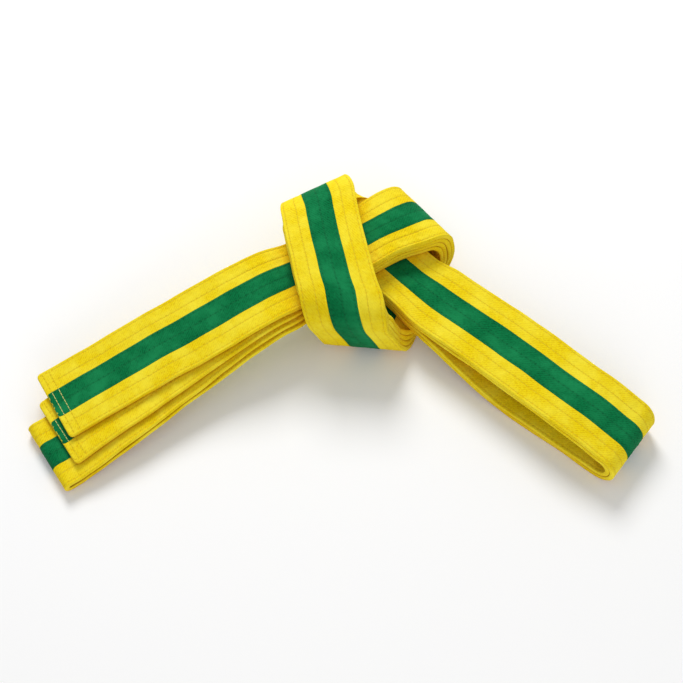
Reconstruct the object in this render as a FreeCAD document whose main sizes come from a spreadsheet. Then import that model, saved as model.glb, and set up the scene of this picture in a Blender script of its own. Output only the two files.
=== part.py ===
import FreeCAD, Part
import math
import os

V = FreeCAD.Vector
UP = V(0, 0, 1)

os.makedirs("parts", exist_ok=True)
doc = FreeCAD.newDocument("belt")

# ---------------------------------------------------------------- sizes (mm)
SIZES = [
    ("belt_width", 40.0),
    ("belt_thickness", 2.7),
    ("layer_pitch", 2.82),
    ("pass_gap", 0.12),
    ("edge_round", 0.8),
    ("tape_width", 14.5),
    ("tape_thickness", 0.23),
    ("cover_wall", 0.8),
    ("clearance", 0.04),
    ("thread_width", 0.5),
    ("thread_height", 0.2),
    ("row_pitch", 6.1),
    ("row_start", 9.0),
    ("end_row_first", 3.2),
    ("end_row_second", 6.9),
    ("end_row_length", 37.0),
    ("end_row_height", 0.3),
    ("knot_squeeze", 0.88),
    ("rest_trim", 0.06),
]

sheet = doc.addObject("Spreadsheet::Sheet", "Sizes")
for row, (word, value) in enumerate(SIZES, start=1):
    sheet.set("A%d" % row, word)
    sheet.set("B%d" % row, str(value))
    sheet.setAlias("B%d" % row, word)
doc.recompute()


def size(word):
    return float(getattr(sheet, word))


WIDTH = size("belt_width")
THICK = size("belt_thickness")
PITCH = size("layer_pitch")
TRIM = size("rest_trim")

# The belt is folded into four layers. Layer 1 carries the upper tail, layer 2
# the lower tail, and layers 3 and 4 are joined by the fold at the left.
LAYER_OFFSET = {1: 1.5 * PITCH, 2: 0.5 * PITCH, 3: -0.5 * PITCH, 4: -1.5 * PITCH}
BUNDLE_HALF = 1.5 * PITCH + THICK / 2
PASS_STEP = 2 * BUNDLE_HALF + size("pass_gap")

# Heights of the bundle's centre on its four passes through the knot.
UNDER = BUNDLE_HALF - TRIM
RIGHT_ARM = UNDER + PASS_STEP
LEFT_ARM = UNDER + 2 * PASS_STEP
WRAP = UNDER + 3 * PASS_STEP


def heading(degrees):
    return V(math.cos(math.radians(degrees)), math.sin(math.radians(degrees)), 0)


def ease(t):
    """Rises from 0 to 1 with a level start and end."""
    t = min(max(t, 0.0), 1.0)
    return t * t * (3 - 2 * t)


# ------------------------------------------------- stations along the bundle
# A station is (centre, outward normal, width direction).

LONGEST_STEP = 10.0


def run_distances(length, first, last):
    """Distances along a run, closer together near both of its ends."""
    from_start, from_end = [0.0], [0.0]
    while from_start[-1] + from_end[-1] + 1.35 * (first + last) < length:
        if first <= last:
            from_start.append(from_start[-1] + first)
            first = min(first * 1.5, LONGEST_STEP)
        else:
            from_end.append(from_end[-1] + last)
            last = min(last * 1.5, LONGEST_STEP)
    gap = length - from_start[-1] - from_end[-1]
    parts = max(1, round(gap / max(first, last)))
    middle = [from_start[-1] + gap * k / parts for k in range(1, parts)]
    return from_start + middle + [length - d for d in reversed(from_end)]


def run(start, way_in, end, way_out, height, side, first, last, slant=(0, 0), squeeze=None):
    """A run of belt between two plan points; side is +1 where its normal is up.

    The height is a function of the place in plan. Each station's width line
    leans along the belt by the slant, which goes from one value to the other.
    """
    start, end = V(start[0], start[1], 0), V(end[0], end[1], 0)
    length = (end - start).Length
    pull_a = start + heading(way_in) * (length * 0.33)
    pull_b = end - heading(way_out) * (length * 0.33)

    def at(t):
        s = 1 - t
        plan = start * s**3 + pull_a * (3 * s * s * t) + pull_b * (3 * s * t * t) + end * t**3
        return V(plan.x, plan.y, height(plan))

    stations = []
    for distance in run_distances(length, first, last):
        t = distance / length
        centre = at(t)
        along = at(min(t + 0.002, 1.0)) - at(max(t - 0.002, 0.0))
        along.normalize()
        width = (UP * side).cross(V(along.x, along.y, 0))
        width.normalize()
        width.z = (height(centre + width) - height(centre - width)) / 2
        normal = along.cross(width)
        normal.normalize()
        width = width + along * (slant[0] + (slant[1] - slant[0]) * ease(t))
        if squeeze:
            width = width * squeeze(t)
        stations.append((centre, normal, width))
    return stations


def fold(x, y, heading_in, heading_out, z_in, z_out, corner):
    """A slanted fold of belt over an upright edge, with two rounded corners."""
    start = V(x, y, 0)
    way_in = heading(heading_in)
    crease = heading((heading_in + heading_out) / 2)
    if crease.dot(way_in) < 0:
        crease = crease * -1
    along_share = way_in.dot(crease)
    across_share = math.sqrt(1 - along_share**2)
    outward = (way_in - crease * along_share) * (1 / across_share)
    up = UP * (1 if z_out > z_in else -1)
    upright = abs(z_out - z_in) - 2 * corner
    quarter = math.pi * corner / 2

    profile = []
    for k in range(5):
        turn = math.pi * k / 8
        out, rise = corner * math.sin(turn), corner * (1 - math.cos(turn))
        profile.append((corner * turn, out, rise, turn))
    if upright > 6:
        profile.append((quarter + upright / 2, corner, corner + upright / 2, math.pi / 2))
    for k in range(5):
        turn = math.pi * k / 8
        out, rise = corner * math.cos(turn), corner + upright + corner * math.sin(turn)
        profile.append((quarter + upright + corner * turn, out, rise, math.pi / 2 + turn))

    stations = []
    for travel, out, rise, turn in profile:
        slide = crease * (travel * along_share / across_share)
        centre = start + slide + outward * out + V(0, 0, z_in) + up * rise
        normal = outward * math.sin(turn) - up * math.cos(turn)
        forward = outward * math.cos(turn) + up * math.sin(turn)
        forward = crease * along_share + forward * across_share
        width = crease * (1 / crease.dot(normal.cross(forward)))
        stations.append((centre, normal, width))
    return stations


def slant_of(fold_stations, way):
    """How far a fold's width line leans along the belt."""
    return fold_stations[0][2].dot(heading(way))


def half_turn(station, width, turn_heading, radius, rise, parts):
    """The rounded end of a loop, after a station; rise is +1 where it turns up."""
    centre = station[0]
    forward = heading(turn_heading)
    stations = []
    for k in range(1, parts):
        turn = math.pi * k / parts
        lift = UP * (rise * radius * (1 - math.cos(turn)))
        out = forward * math.sin(turn) - UP * (rise * math.cos(turn))
        stations.append((centre + forward * (radius * math.sin(turn)) + lift, out, width))
    return stations


# The knot: where the bundle enters, its three folds, and where it leaves.
KNOT_IN = (-34.0, 16.8, 28.5)
FIRST_FOLD = (34.0, 58.3, 27.5, 234.5, LEFT_ARM, UNDER, 9.0)
SECOND_FOLD = (18.5, 5.0, 241.0, 108.0, UNDER, WRAP, 9.5)
THIRD_FOLD = (-12.0, 59.5, 98.5, 319.0, WRAP, RIGHT_ARM, 9.0)
KNOT_OUT = (51.3, 13.9, -38.0)
# How far each layer lies to the side of the bundle where it enters the knot.
ENTRY_FAN = {1: 1.0, 2: -0.8, 3: -2.6, 4: -4.4}


def squeeze_between(t):
    """The belt is pinched narrower where it goes under another pass."""
    return 1 - (1 - size("knot_squeeze")) * ease(4 * t) * ease(4 * (1 - t))


def knot_stations():
    first, second, third = fold(*FIRST_FOLD), fold(*SECOND_FOLD), fold(*THIRD_FOLD)
    lean = [slant_of(first, FIRST_FOLD[2]), slant_of(second, SECOND_FOLD[2]),
            slant_of(third, THIRD_FOLD[2])]
    left_arm = run(KNOT_IN[:2], KNOT_IN[2], FIRST_FOLD[:2], FIRST_FOLD[2],
                   lambda p: LEFT_ARM, 1, 6, 4, (0, lean[0]), squeeze_between)
    under = run(first[-1][0], FIRST_FOLD[3], SECOND_FOLD[:2], SECOND_FOLD[2],
                lambda p: UNDER, -1, 4, 4, (lean[0], lean[1]))
    wrap = run(second[-1][0], SECOND_FOLD[3], THIRD_FOLD[:2], THIRD_FOLD[2],
               lambda p: WRAP, 1, 4, 4, (lean[1], lean[2]))
    right_arm = run(third[-1][0], THIRD_FOLD[3], KNOT_OUT[:2], KNOT_OUT[2],
                    lambda p: RIGHT_ARM, -1, 4, 6, (lean[2], 0), squeeze_between)
    stations = left_arm[:-1] + first + under[1:-1] + second + wrap[1:-1] + third + right_arm[1:]
    return stations, len(left_arm) - 1


KNOT, FAN_COUNT = knot_stations()


def knot_layer(layer):
    stations = []
    for k, (centre, normal, width) in enumerate(KNOT):
        fan = ENTRY_FAN[layer] * (1 - ease(2 * k / FAN_COUNT))
        stations.append((centre + normal * LAYER_OFFSET[layer] + width * fan, normal, width))
    return stations


# Left arm: where each layer ends (x, y, heading, height of its middle).
LEFT_END = {
    1: (-147.0, -44.5, 211.0, 12.9),
    2: (-144.5, -58.0, 214.0, 9.95),
    3: (-146.4, -67.5, 213.5, 7.0),
    4: (-146.4, -67.5, 213.5, 1.6),
}
RAMP_LENGTH = 133.0
RAMP_START = 24.0      # over this distance the slope comes in
LEFT_LOOSE = 1.07
# Distances from the knot: where the stack loosens and the roll comes in, where the
# roll fades, and where each layer turns to its own end height.
LOOSEN_LENGTH = 30.0
ROLL_LENGTH = 40.0
LEVEL_START = 50.0
END_START = 80.0
EASE_LENGTH = 60.0
LEFT_ROLL = 0.06       # how much higher the far edge lies, for each millimetre across


def ramp(out):
    """The share of the whole fall at a distance from the knot: an even slope."""
    out = min(max(out, 0.0), RAMP_LENGTH)
    fallen = out**2 / (2 * RAMP_START) if out < RAMP_START else out - RAMP_START / 2
    return fallen / (RAMP_LENGTH - RAMP_START / 2)


def left_arm(layer):
    """From the knot outwards; the layers come down to the table like a stiff ramp."""
    end_x, end_y, end_heading, end_height = LEFT_END[layer]
    start = knot_layer(layer)[0][0]
    top = LEFT_ARM - 1.5 * PITCH
    rest = THICK / 2 - TRIM

    def height(p):
        away = p - V(KNOT_IN[0], KNOT_IN[1], 0)
        out = -away.dot(heading(KNOT_IN[2]))
        stack = (4 - layer) * PITCH * (1 + (LEFT_LOOSE - 1) * ease(out / LOOSEN_LENGTH))
        fall = top + (rest - top) * ramp(out) + stack
        level = ease((out - LEVEL_START) / EASE_LENGTH)
        roll = LEFT_ROLL * ease(out / ROLL_LENGTH) * (1 - level)
        fall += roll * away.dot(heading(KNOT_IN[2] + 90))
        own_end = end_height - rest - (4 - layer) * PITCH * LEFT_LOOSE
        return fall + own_end * ease((out - END_START) / EASE_LENGTH)

    last = 2.0 if layer > 2 else 8.0
    stations = run((start.x, start.y), KNOT_IN[2] + 180, (end_x, end_y), end_heading,
                   height, 1, 6, last)
    return [(centre, normal, width * -1) for centre, normal, width in stations][1:]


# Right arm: two nested loops, layers 1 and 4 outside, 2 and 3 inside.
RIGHT_END = (139.5, -59.8, -38.0)
RIGHT_HEIGHT = {1: THICK / 2 - TRIM, 2: THICK / 2 - TRIM + PITCH, 3: 17.6, 4: 17.6 + PITCH}
RIGHT_DROP = 66.0      # over this distance the lower pair comes down to the table
# The upper pair arches up by the crown, then dips to the loop's end.
RIGHT_CROWN = 2.3
CROWN_RISE = 85.0
DIP_START = 88.0
DIP_LENGTH = 26.8
# The headings at which each layer leaves the knot and reaches the loop's end.
RIGHT_WAYS = {1: (-46.5, -38.0), 2: (-46.5, -38.0), 3: (-37.0, -38.0), 4: (-37.0, -38.0)}


def right_arm(layer):
    """From the knot outwards; the lower pair drops to the table, the upper stays up."""
    start = knot_layer(layer)[-1][0]

    def height(p):
        out = (p - V(KNOT_OUT[0], KNOT_OUT[1], 0)).dot(heading(KNOT_OUT[2]))
        if layer < 3:
            return start.z + (RIGHT_HEIGHT[layer] - start.z) * ease(out / RIGHT_DROP)
        crown = start.z + RIGHT_CROWN * ease(out / CROWN_RISE)
        dip = min(max((out - DIP_START) / DIP_LENGTH, 0), 1)**2
        return crown + (RIGHT_HEIGHT[layer] - start.z - RIGHT_CROWN) * dip

    leave, arrive = RIGHT_WAYS[layer]
    return run((start.x, start.y), leave, RIGHT_END[:2], arrive, height, -1, 6, 3)[1:]


def turned_over(stations):
    """The same stretch walked the other way, with its face on the other side."""
    return [(centre, normal * -1, width) for centre, normal, width in reversed(stations)]


def belt_stretches():
    """The whole belt from the end of the upper tail to the end of the lower tail.

    It comes as nine stretches, because the belt runs through the knot four times.
    """
    left = {layer: left_arm(layer)[::-1] for layer in LAYER_OFFSET}
    knot = {layer: knot_layer(layer) for layer in LAYER_OFFSET}
    right = {layer: right_arm(layer) for layer in LAYER_OFFSET}

    across_end = (UP * -1).cross(heading(RIGHT_END[2]))
    outer_radius = (RIGHT_HEIGHT[4] - RIGHT_HEIGHT[1]) / 2
    inner_radius = (RIGHT_HEIGHT[3] - RIGHT_HEIGHT[2]) / 2
    outer = half_turn(right[1][-1], across_end, RIGHT_END[2], outer_radius, 1, 8)
    inner = half_turn(right[3][-1], across_end, RIGHT_END[2], inner_radius, -1, 8)
    inner = [(centre, normal * -1, width) for centre, normal, width in inner]
    fold_radius = (LEFT_END[3][3] - LEFT_END[4][3]) / 2
    fold_over = half_turn(left[4][0], left[4][0][2], LEFT_END[4][2], fold_radius, 1, 6)

    return [
        ("upper_tail", left[1]),
        ("knot_layer_1", knot[1]),
        ("outer_loop", right[1] + outer + turned_over(right[4])),
        ("knot_layer_4", turned_over(knot[4])),
        ("left_fold", turned_over(left[4]) + fold_over + left[3]),
        ("knot_layer_3", knot[3]),
        ("inner_loop", right[3] + inner + turned_over(right[2])),
        ("knot_layer_2", turned_over(knot[2])),
        ("lower_tail", turned_over(left[2])),
    ]


# Moves the whole belt so that the middle of its outline is over the origin.
MIDDLE = V(0.23, 0.12, 0)
STATIONS = []
STRETCH_ENDS = []
for name, stretch in belt_stretches():
    STATIONS += [(centre + MIDDLE, normal, width) for centre, normal, width in stretch]
    STRETCH_ENDS.append((name, len(STATIONS) - 1))

LENGTHS = [0.0]
for before, after in zip(STATIONS, STATIONS[1:]):
    LENGTHS.append(LENGTHS[-1] + (after[0] - before[0]).Length)

# ------------------------------------------------------------------- solids
BELT_LENGTH = LENGTHS[-1]
FACE_SPAN = 8


def rail(across, out):
    """The curve along the belt at one place in its section."""
    curve = Part.BSplineCurve()
    points = [c + b * across + n * out for c, n, b in STATIONS]
    curve.interpolate(Points=points, Parameters=LENGTHS)
    return curve


def strip_face(one, two, begin, end):
    """The straight-ruled face between two neighbouring rails, from begin to end."""
    one, two = one.copy(), two.copy()
    one.segment(begin, end)
    two.segment(begin, end)
    poles = [[p, q] for p, q in zip(one.getPoles(), two.getPoles())]
    surface = Part.BSplineSurface()
    surface.buildFromPolesMultsKnots(poles, one.getMultiplicities(), (2, 2), one.getKnots(),
                                     (0.0, 1.0), False, False, one.Degree, 1)
    return surface.toShape()


def strip_faces(section, begin, end):
    """Faces that follow a closed section along the belt, and the two end outlines."""
    rails = [rail(across, out) for across, out in section]
    inside = [length for length in LENGTHS if begin + 4 < length < end - 4]
    cuts = [begin] + inside[FACE_SPAN::FACE_SPAN] + [end]
    faces = []
    for one, two in zip(rails, rails[1:] + rails[:1]):
        faces += [strip_face(one, two, p, q) for p, q in zip(cuts, cuts[1:])]
    outlines = []
    for length in (begin, end):
        points = [curve.value(length) for curve in rails]
        outlines.append(Part.makePolygon(points + points[:1]))
    return faces, outlines


def closed_solid(faces):
    joined = Part.Compound(faces)
    joined.sewShape(0.001)
    solid = Part.Solid(joined.Shells[0])
    if solid.Volume < 0:
        solid.reverse()
    return solid


def bar_along(section, begin, end):
    faces, outlines = strip_faces(section, begin, end)
    return closed_solid(faces + [Part.Face(outline) for outline in outlines])


def tube_along(outer, inner, begin, end):
    faces, outlines = strip_faces(outer, begin, end)
    bore, bore_outlines = strip_faces(inner, begin, end)
    caps = [Part.Face([big, small]) for big, small in zip(outlines, bore_outlines)]
    return closed_solid(faces + bore + caps)


def box_section(across, half_width, low, high):
    return [(across - half_width, low), (across + half_width, low),
            (across + half_width, high), (across - half_width, high)]


CLEAR = size("clearance")
FACE = THICK / 2
THREAD_TOP = FACE - 0.03
THREAD_LOW = THREAD_TOP - size("thread_height")
TAPE_TOP = THREAD_LOW - CLEAR / 2
TAPE_LOW = TAPE_TOP - size("tape_thickness")
GROOVE = size("thread_width") / 2 + CLEAR
BORE_ACROSS = WIDTH / 2 - size("cover_wall")
BORE_OUT = FACE - size("cover_wall")
ROWS = [(k - 3) * size("row_pitch") for k in range(7)]


def face_outline(side):
    """One face of the cover across its width, with its thread grooves and tape seat."""
    points = [(-WIDTH / 2 + size("edge_round"), FACE)]
    seat = size("tape_width") / 2 + CLEAR
    dips = [(row - GROOVE, row + GROOVE, THREAD_LOW - CLEAR / 2) for row in ROWS if abs(row) > seat]
    dips.append((-seat, seat, TAPE_LOW - CLEAR / 2))
    for left, right, floor in sorted(dips):
        points += [(left, FACE), (left, floor), (right, floor), (right, FACE)]
    points.append((WIDTH / 2 - size("edge_round"), FACE))
    edge = FACE - size("edge_round")
    points.append((WIDTH / 2, edge))
    return [(across * side, out * side) for across, out in points]


def trimmed_flat(shape):
    """Flattens what would reach below the table."""
    if shape.BoundBox.ZMin > 3:
        return shape
    return shape.cut(Part.makeBox(500, 400, 10, V(-250, -200, -10)))


def make_cover(begin, end):
    """One stretch of the stitched cotton tube."""
    outer = face_outline(1) + face_outline(-1)
    inner = [(-BORE_ACROSS, -BORE_OUT), (BORE_ACROSS, -BORE_OUT),
             (BORE_ACROSS, BORE_OUT), (-BORE_ACROSS, BORE_OUT)]
    return trimmed_flat(tube_along(outer, inner, begin, end))


def make_padding():
    across, out = BORE_ACROSS - CLEAR, BORE_OUT - CLEAR
    return bar_along(box_section(0, across, -out, out), 0.5, BELT_LENGTH - 0.5)


def make_tape(side):
    low, high = sorted((TAPE_LOW * side, TAPE_TOP * side))
    section = box_section(0, size("tape_width") / 2, low, high)
    return trimmed_flat(bar_along(section, 0, BELT_LENGTH))


def make_thread(row, side):
    low, high = sorted((THREAD_LOW * side, THREAD_TOP * side))
    start = size("row_start")
    section = box_section(row, size("thread_width") / 2, low, high)
    return trimmed_flat(bar_along(section, start, BELT_LENGTH - start))


def make_end_row(name, at, side):
    """One thread across a tail, lying on its face, as a plain bar."""
    centre = rail(0, 0).value(at)
    width = rail(1, 0).value(at) - centre
    normal = (rail(0, 1).value(at) - centre) * side
    width.normalize()
    normal.normalize()
    along = normal.cross(width)
    bar = doc.addObject("Part::Box", name)
    bar.setExpression("Length", "Sizes.end_row_length")
    bar.setExpression("Width", "Sizes.thread_width")
    bar.setExpression("Height", "Sizes.end_row_height")
    corner = centre - width * (size("end_row_length") / 2) - along * (size("thread_width") / 2)
    turn = FreeCAD.Rotation(width, along, normal, "XYZ")
    bar.Placement = FreeCAD.Placement(corner + normal * (FACE + CLEAR), turn)
    return bar


def add_feature(name, shape):
    feature = doc.addObject("Part::Feature", name)
    feature.Shape = shape
    feature.Placement = FreeCAD.Placement()
    return feature


# ------------------------------------------------------------------- pieces
FACES = [("needle", 1), ("bobbin", -1)]
pieces = []

begin = 0.0
for name, last in STRETCH_ENDS:
    pieces.append(add_feature("cover_" + name, make_cover(begin, LENGTHS[last])))
    begin = LENGTHS[last]

pieces.append(add_feature("padding", make_padding()))
pieces.append(add_feature("stripe_front", make_tape(1)))
pieces.append(add_feature("stripe_back", make_tape(-1)))

for number, row in enumerate(ROWS, start=1):
    for thread, side in FACES:
        name = "%s_thread_%d" % (thread, number)
        pieces.append(add_feature(name, make_thread(row, side)))

for tail, from_end in (("upper", False), ("lower", True)):
    for number, word in ((1, "end_row_first"), (2, "end_row_second")):
        at = BELT_LENGTH - size(word) if from_end else size(word)
        for thread, side in FACES:
            name = "%s_tail_row_%d_%s" % (tail, number, thread)
            pieces.append(make_end_row(name, at, side))

doc.recompute()

# ------------------------------------------------------------ check and save
for piece in pieces:
    piece.Label = piece.Name
    shape = piece.Shape
    if "Invalid" in piece.State or "Error" in piece.State:
        raise RuntimeError(piece.Label + " has a fault: " + str(piece.State))
    if shape.isNull() or not shape.isValid() or len(shape.Solids) != 1:
        raise RuntimeError(piece.Label + " isn't one valid solid")

for piece in pieces:
    piece.Shape.exportStep("parts/%s.step" % piece.Label)

print("belt length %.0f mm, %d pieces" % (BELT_LENGTH, len(pieces)))
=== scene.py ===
"""The looks of a padded martial arts belt, folded in four layers and tied in one knot.

Lengths are in millimetres until a mesh is made. Every piece follows the belt's own route,
from the end of the upper tail, four times through the knot, to the end of the lower tail.
"""
import math

import bpy
import numpy as np
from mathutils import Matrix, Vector


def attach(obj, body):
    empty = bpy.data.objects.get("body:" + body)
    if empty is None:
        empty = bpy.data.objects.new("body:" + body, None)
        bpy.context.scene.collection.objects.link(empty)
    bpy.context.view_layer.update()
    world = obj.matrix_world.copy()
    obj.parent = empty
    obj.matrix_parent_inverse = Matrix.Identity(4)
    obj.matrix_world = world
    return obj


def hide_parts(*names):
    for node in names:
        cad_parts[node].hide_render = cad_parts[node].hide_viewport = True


MM = 0.001
UP = np.array([0.0, 0.0, 1.0])

# ------------------------------------------------------------ sizes (mm)
WIDTH = 40.0
THICK = 2.7
PITCH = 2.82
PASS_GAP = 0.12
TRIM = 0.06
KNOT_SQUEEZE = 0.88
ROW_PITCH = 6.1
ROWS = [(k - 3) * ROW_PITCH for k in range(7)]
ROW_START = 9.0
STITCH = 3.0
ROW_STAGGER = 0.37          # share of a stitch from one row to the next
END_ROWS = (3.2, 6.9)
END_STITCH = 2.1
END_ROW_LENGTH = 37.0
TAPE_HALF = 7.25
CORNER = 2.6                # rounding of the belt's four end corners

LAYER_OFFSET = {1: 1.5 * PITCH, 2: 0.5 * PITCH, 3: -0.5 * PITCH, 4: -1.5 * PITCH}
BUNDLE_HALF = 1.5 * PITCH + THICK / 2
PASS_STEP = 2 * BUNDLE_HALF + PASS_GAP
UNDER = BUNDLE_HALF - TRIM
RIGHT_ARM = UNDER + PASS_STEP
LEFT_ARM = UNDER + 2 * PASS_STEP
WRAP = UNDER + 3 * PASS_STEP


def heading(degrees):
    return np.array([math.cos(math.radians(degrees)), math.sin(math.radians(degrees)), 0.0])


def flat_point(x, y):
    return np.array([x, y, 0.0])


def unit(vector):
    return vector / np.linalg.norm(vector)


def ease(t):
    """Rises from 0 to 1 with a level start and end."""
    t = np.clip(t, 0.0, 1.0)
    return t * t * (3 - 2 * t)


# ------------------------------------------------- stations along the bundle
# A station is (centre, outward normal, width direction).

LONGEST_STEP = 10.0
STEP_GROWTH = 1.5           # each step of a run, over the step nearer its end
LEAST_GAP = 1.35            # room left in a run's middle, over the next two steps
BEND_SHARE = 0.33           # pull along the heading at each end, over a run's length
NEARBY = 0.002              # share of a run over which its direction is measured


def run_distances(length, first, last):
    """Distances along a run, closer together near both of its ends."""
    from_start, from_end = [0.0], [0.0]
    while from_start[-1] + from_end[-1] + LEAST_GAP * (first + last) < length:
        if first <= last:
            from_start.append(from_start[-1] + first)
            first = min(first * STEP_GROWTH, LONGEST_STEP)
        else:
            from_end.append(from_end[-1] + last)
            last = min(last * STEP_GROWTH, LONGEST_STEP)
    gap = length - from_start[-1] - from_end[-1]
    parts = max(1, round(gap / max(first, last)))
    middle = [from_start[-1] + gap * k / parts for k in range(1, parts)]
    return from_start + middle + [length - d for d in reversed(from_end)]


def run(start, way_in, end, way_out, height, side, first, last, slant=(0, 0), squeeze=None):
    """A run of belt between two plan points; side is +1 where its normal is up.

    The height is a function of the place in plan. Each station's width line
    leans along the belt by the slant, which goes from one value to the other.
    """
    start, end = flat_point(start[0], start[1]), flat_point(end[0], end[1])
    length = np.linalg.norm(end - start)
    pull_a = start + heading(way_in) * (length * BEND_SHARE)
    pull_b = end - heading(way_out) * (length * BEND_SHARE)

    def at(t):
        s = 1 - t
        plan = start * s**3 + pull_a * (3 * s * s * t) + pull_b * (3 * s * t * t) + end * t**3
        return np.array([plan[0], plan[1], height(plan)])

    stations = []
    for distance in run_distances(length, first, last):
        t = distance / length
        centre = at(t)
        along = unit(at(min(t + NEARBY, 1.0)) - at(max(t - NEARBY, 0.0)))
        width = unit(np.cross(UP * side, [along[0], along[1], 0.0]))
        width[2] = (height(centre + width) - height(centre - width)) / 2
        normal = unit(np.cross(along, width))
        width = width + along * (slant[0] + (slant[1] - slant[0]) * ease(t))
        if squeeze:
            width = width * squeeze(t)
        stations.append((centre, normal, width))
    return stations


def fold(x, y, heading_in, heading_out, z_in, z_out, corner):
    """A slanted fold of belt over an upright edge, with two rounded corners."""
    start = flat_point(x, y)
    way_in = heading(heading_in)
    crease = heading((heading_in + heading_out) / 2)
    if crease @ way_in < 0:
        crease = -crease
    along_share = way_in @ crease
    across_share = math.sqrt(1 - along_share**2)
    outward = (way_in - crease * along_share) / across_share
    up = UP * (1 if z_out > z_in else -1)
    upright = abs(z_out - z_in) - 2 * corner
    quarter = math.pi * corner / 2

    profile = []
    for k in range(5):
        turn = math.pi * k / 8
        out, rise = corner * math.sin(turn), corner * (1 - math.cos(turn))
        profile.append((corner * turn, out, rise, turn))
    if upright > 6:
        profile.append((quarter + upright / 2, corner, corner + upright / 2, math.pi / 2))
    for k in range(5):
        turn = math.pi * k / 8
        out, rise = corner * math.cos(turn), corner + upright + corner * math.sin(turn)
        profile.append((quarter + upright + corner * turn, out, rise, math.pi / 2 + turn))

    stations = []
    for travel, out, rise, turn in profile:
        slide = crease * (travel * along_share / across_share)
        centre = start + slide + outward * out + UP * z_in + up * rise
        normal = outward * math.sin(turn) - up * math.cos(turn)
        forward = outward * math.cos(turn) + up * math.sin(turn)
        forward = crease * along_share + forward * across_share
        width = crease / (crease @ np.cross(normal, forward))
        stations.append((centre, normal, width))
    return stations


def half_turn(station, width, turn_heading, radius, rise, parts):
    """The rounded end of a loop, after a station; rise is +1 where it turns up."""
    centre = station[0]
    forward = heading(turn_heading)
    stations = []
    for k in range(1, parts):
        turn = math.pi * k / parts
        lift = UP * (rise * radius * (1 - math.cos(turn)))
        out = forward * math.sin(turn) - UP * (rise * math.cos(turn))
        stations.append((centre + forward * (radius * math.sin(turn)) + lift, out, width))
    return stations


# The knot: where the bundle enters, its three folds, and where it leaves.
KNOT_IN = (-34.0, 16.8, 28.5)
FIRST_FOLD = (34.0, 58.3, 27.5, 234.5, LEFT_ARM, UNDER, 9.0)
SECOND_FOLD = (18.5, 5.0, 241.0, 108.0, UNDER, WRAP, 9.5)
THIRD_FOLD = (-12.0, 59.5, 98.5, 319.0, WRAP, RIGHT_ARM, 9.0)
KNOT_OUT = (51.3, 13.9, -38.0)
# How far each layer lies to the side of the bundle where it enters the knot.
ENTRY_FAN = {1: 1.0, 2: -0.8, 3: -2.6, 4: -4.4}


def squeeze_between(t):
    """The belt is pinched narrower where it goes under another pass."""
    return 1 - (1 - KNOT_SQUEEZE) * ease(4 * t) * ease(4 * (1 - t))


def knot_stations():
    folds = [fold(*FIRST_FOLD), fold(*SECOND_FOLD), fold(*THIRD_FOLD)]
    ways = [FIRST_FOLD[2], SECOND_FOLD[2], THIRD_FOLD[2]]
    lean = [stations[0][2] @ heading(way) for stations, way in zip(folds, ways)]
    first, second, third = folds
    left_arm = run(KNOT_IN[:2], KNOT_IN[2], FIRST_FOLD[:2], FIRST_FOLD[2],
                   lambda p: LEFT_ARM, 1, 6, 4, (0, lean[0]), squeeze_between)
    under = run(first[-1][0], FIRST_FOLD[3], SECOND_FOLD[:2], SECOND_FOLD[2],
                lambda p: UNDER, -1, 4, 4, (lean[0], lean[1]))
    wrap = run(second[-1][0], SECOND_FOLD[3], THIRD_FOLD[:2], THIRD_FOLD[2],
               lambda p: WRAP, 1, 4, 4, (lean[1], lean[2]))
    right_arm = run(third[-1][0], THIRD_FOLD[3], KNOT_OUT[:2], KNOT_OUT[2],
                    lambda p: RIGHT_ARM, -1, 4, 6, (lean[2], 0), squeeze_between)
    stations = left_arm[:-1] + first + under[1:-1] + second + wrap[1:-1] + third + right_arm[1:]
    return stations, len(left_arm) - 1


KNOT, FAN_COUNT = knot_stations()


def knot_layer(layer):
    stations = []
    for k, (centre, normal, width) in enumerate(KNOT):
        fan = ENTRY_FAN[layer] * (1 - ease(2 * k / FAN_COUNT))
        stations.append((centre + normal * LAYER_OFFSET[layer] + width * fan, normal, width))
    return stations


# Left arm: where each layer ends (x, y, heading, height of its middle).
LEFT_END = {
    1: (-147.0, -44.5, 211.0, 12.9),
    2: (-144.5, -58.0, 214.0, 9.95),
    3: (-146.4, -67.5, 213.5, 7.0),
    4: (-146.4, -67.5, 213.5, 1.6),
}
RAMP_LENGTH = 133.0
RAMP_START = 24.0      # over this distance the slope comes in
LEFT_LOOSE = 1.07      # how much further apart the layers lie once they are loose
# Distances from the knot: where the stack loosens and the roll comes in, where the
# roll fades, and where each layer turns to its own end height.
LOOSEN_LENGTH = 30.0
ROLL_LENGTH = 40.0
LEVEL_START = 50.0
END_START = 80.0
EASE_LENGTH = 60.0
LEFT_ROLL = 0.06       # how much higher the far edge lies, for each millimetre across


def ramp(out):
    """The share of the whole fall at a distance from the knot: an even slope."""
    out = min(max(out, 0.0), RAMP_LENGTH)
    fallen = out**2 / (2 * RAMP_START) if out < RAMP_START else out - RAMP_START / 2
    return fallen / (RAMP_LENGTH - RAMP_START / 2)


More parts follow.
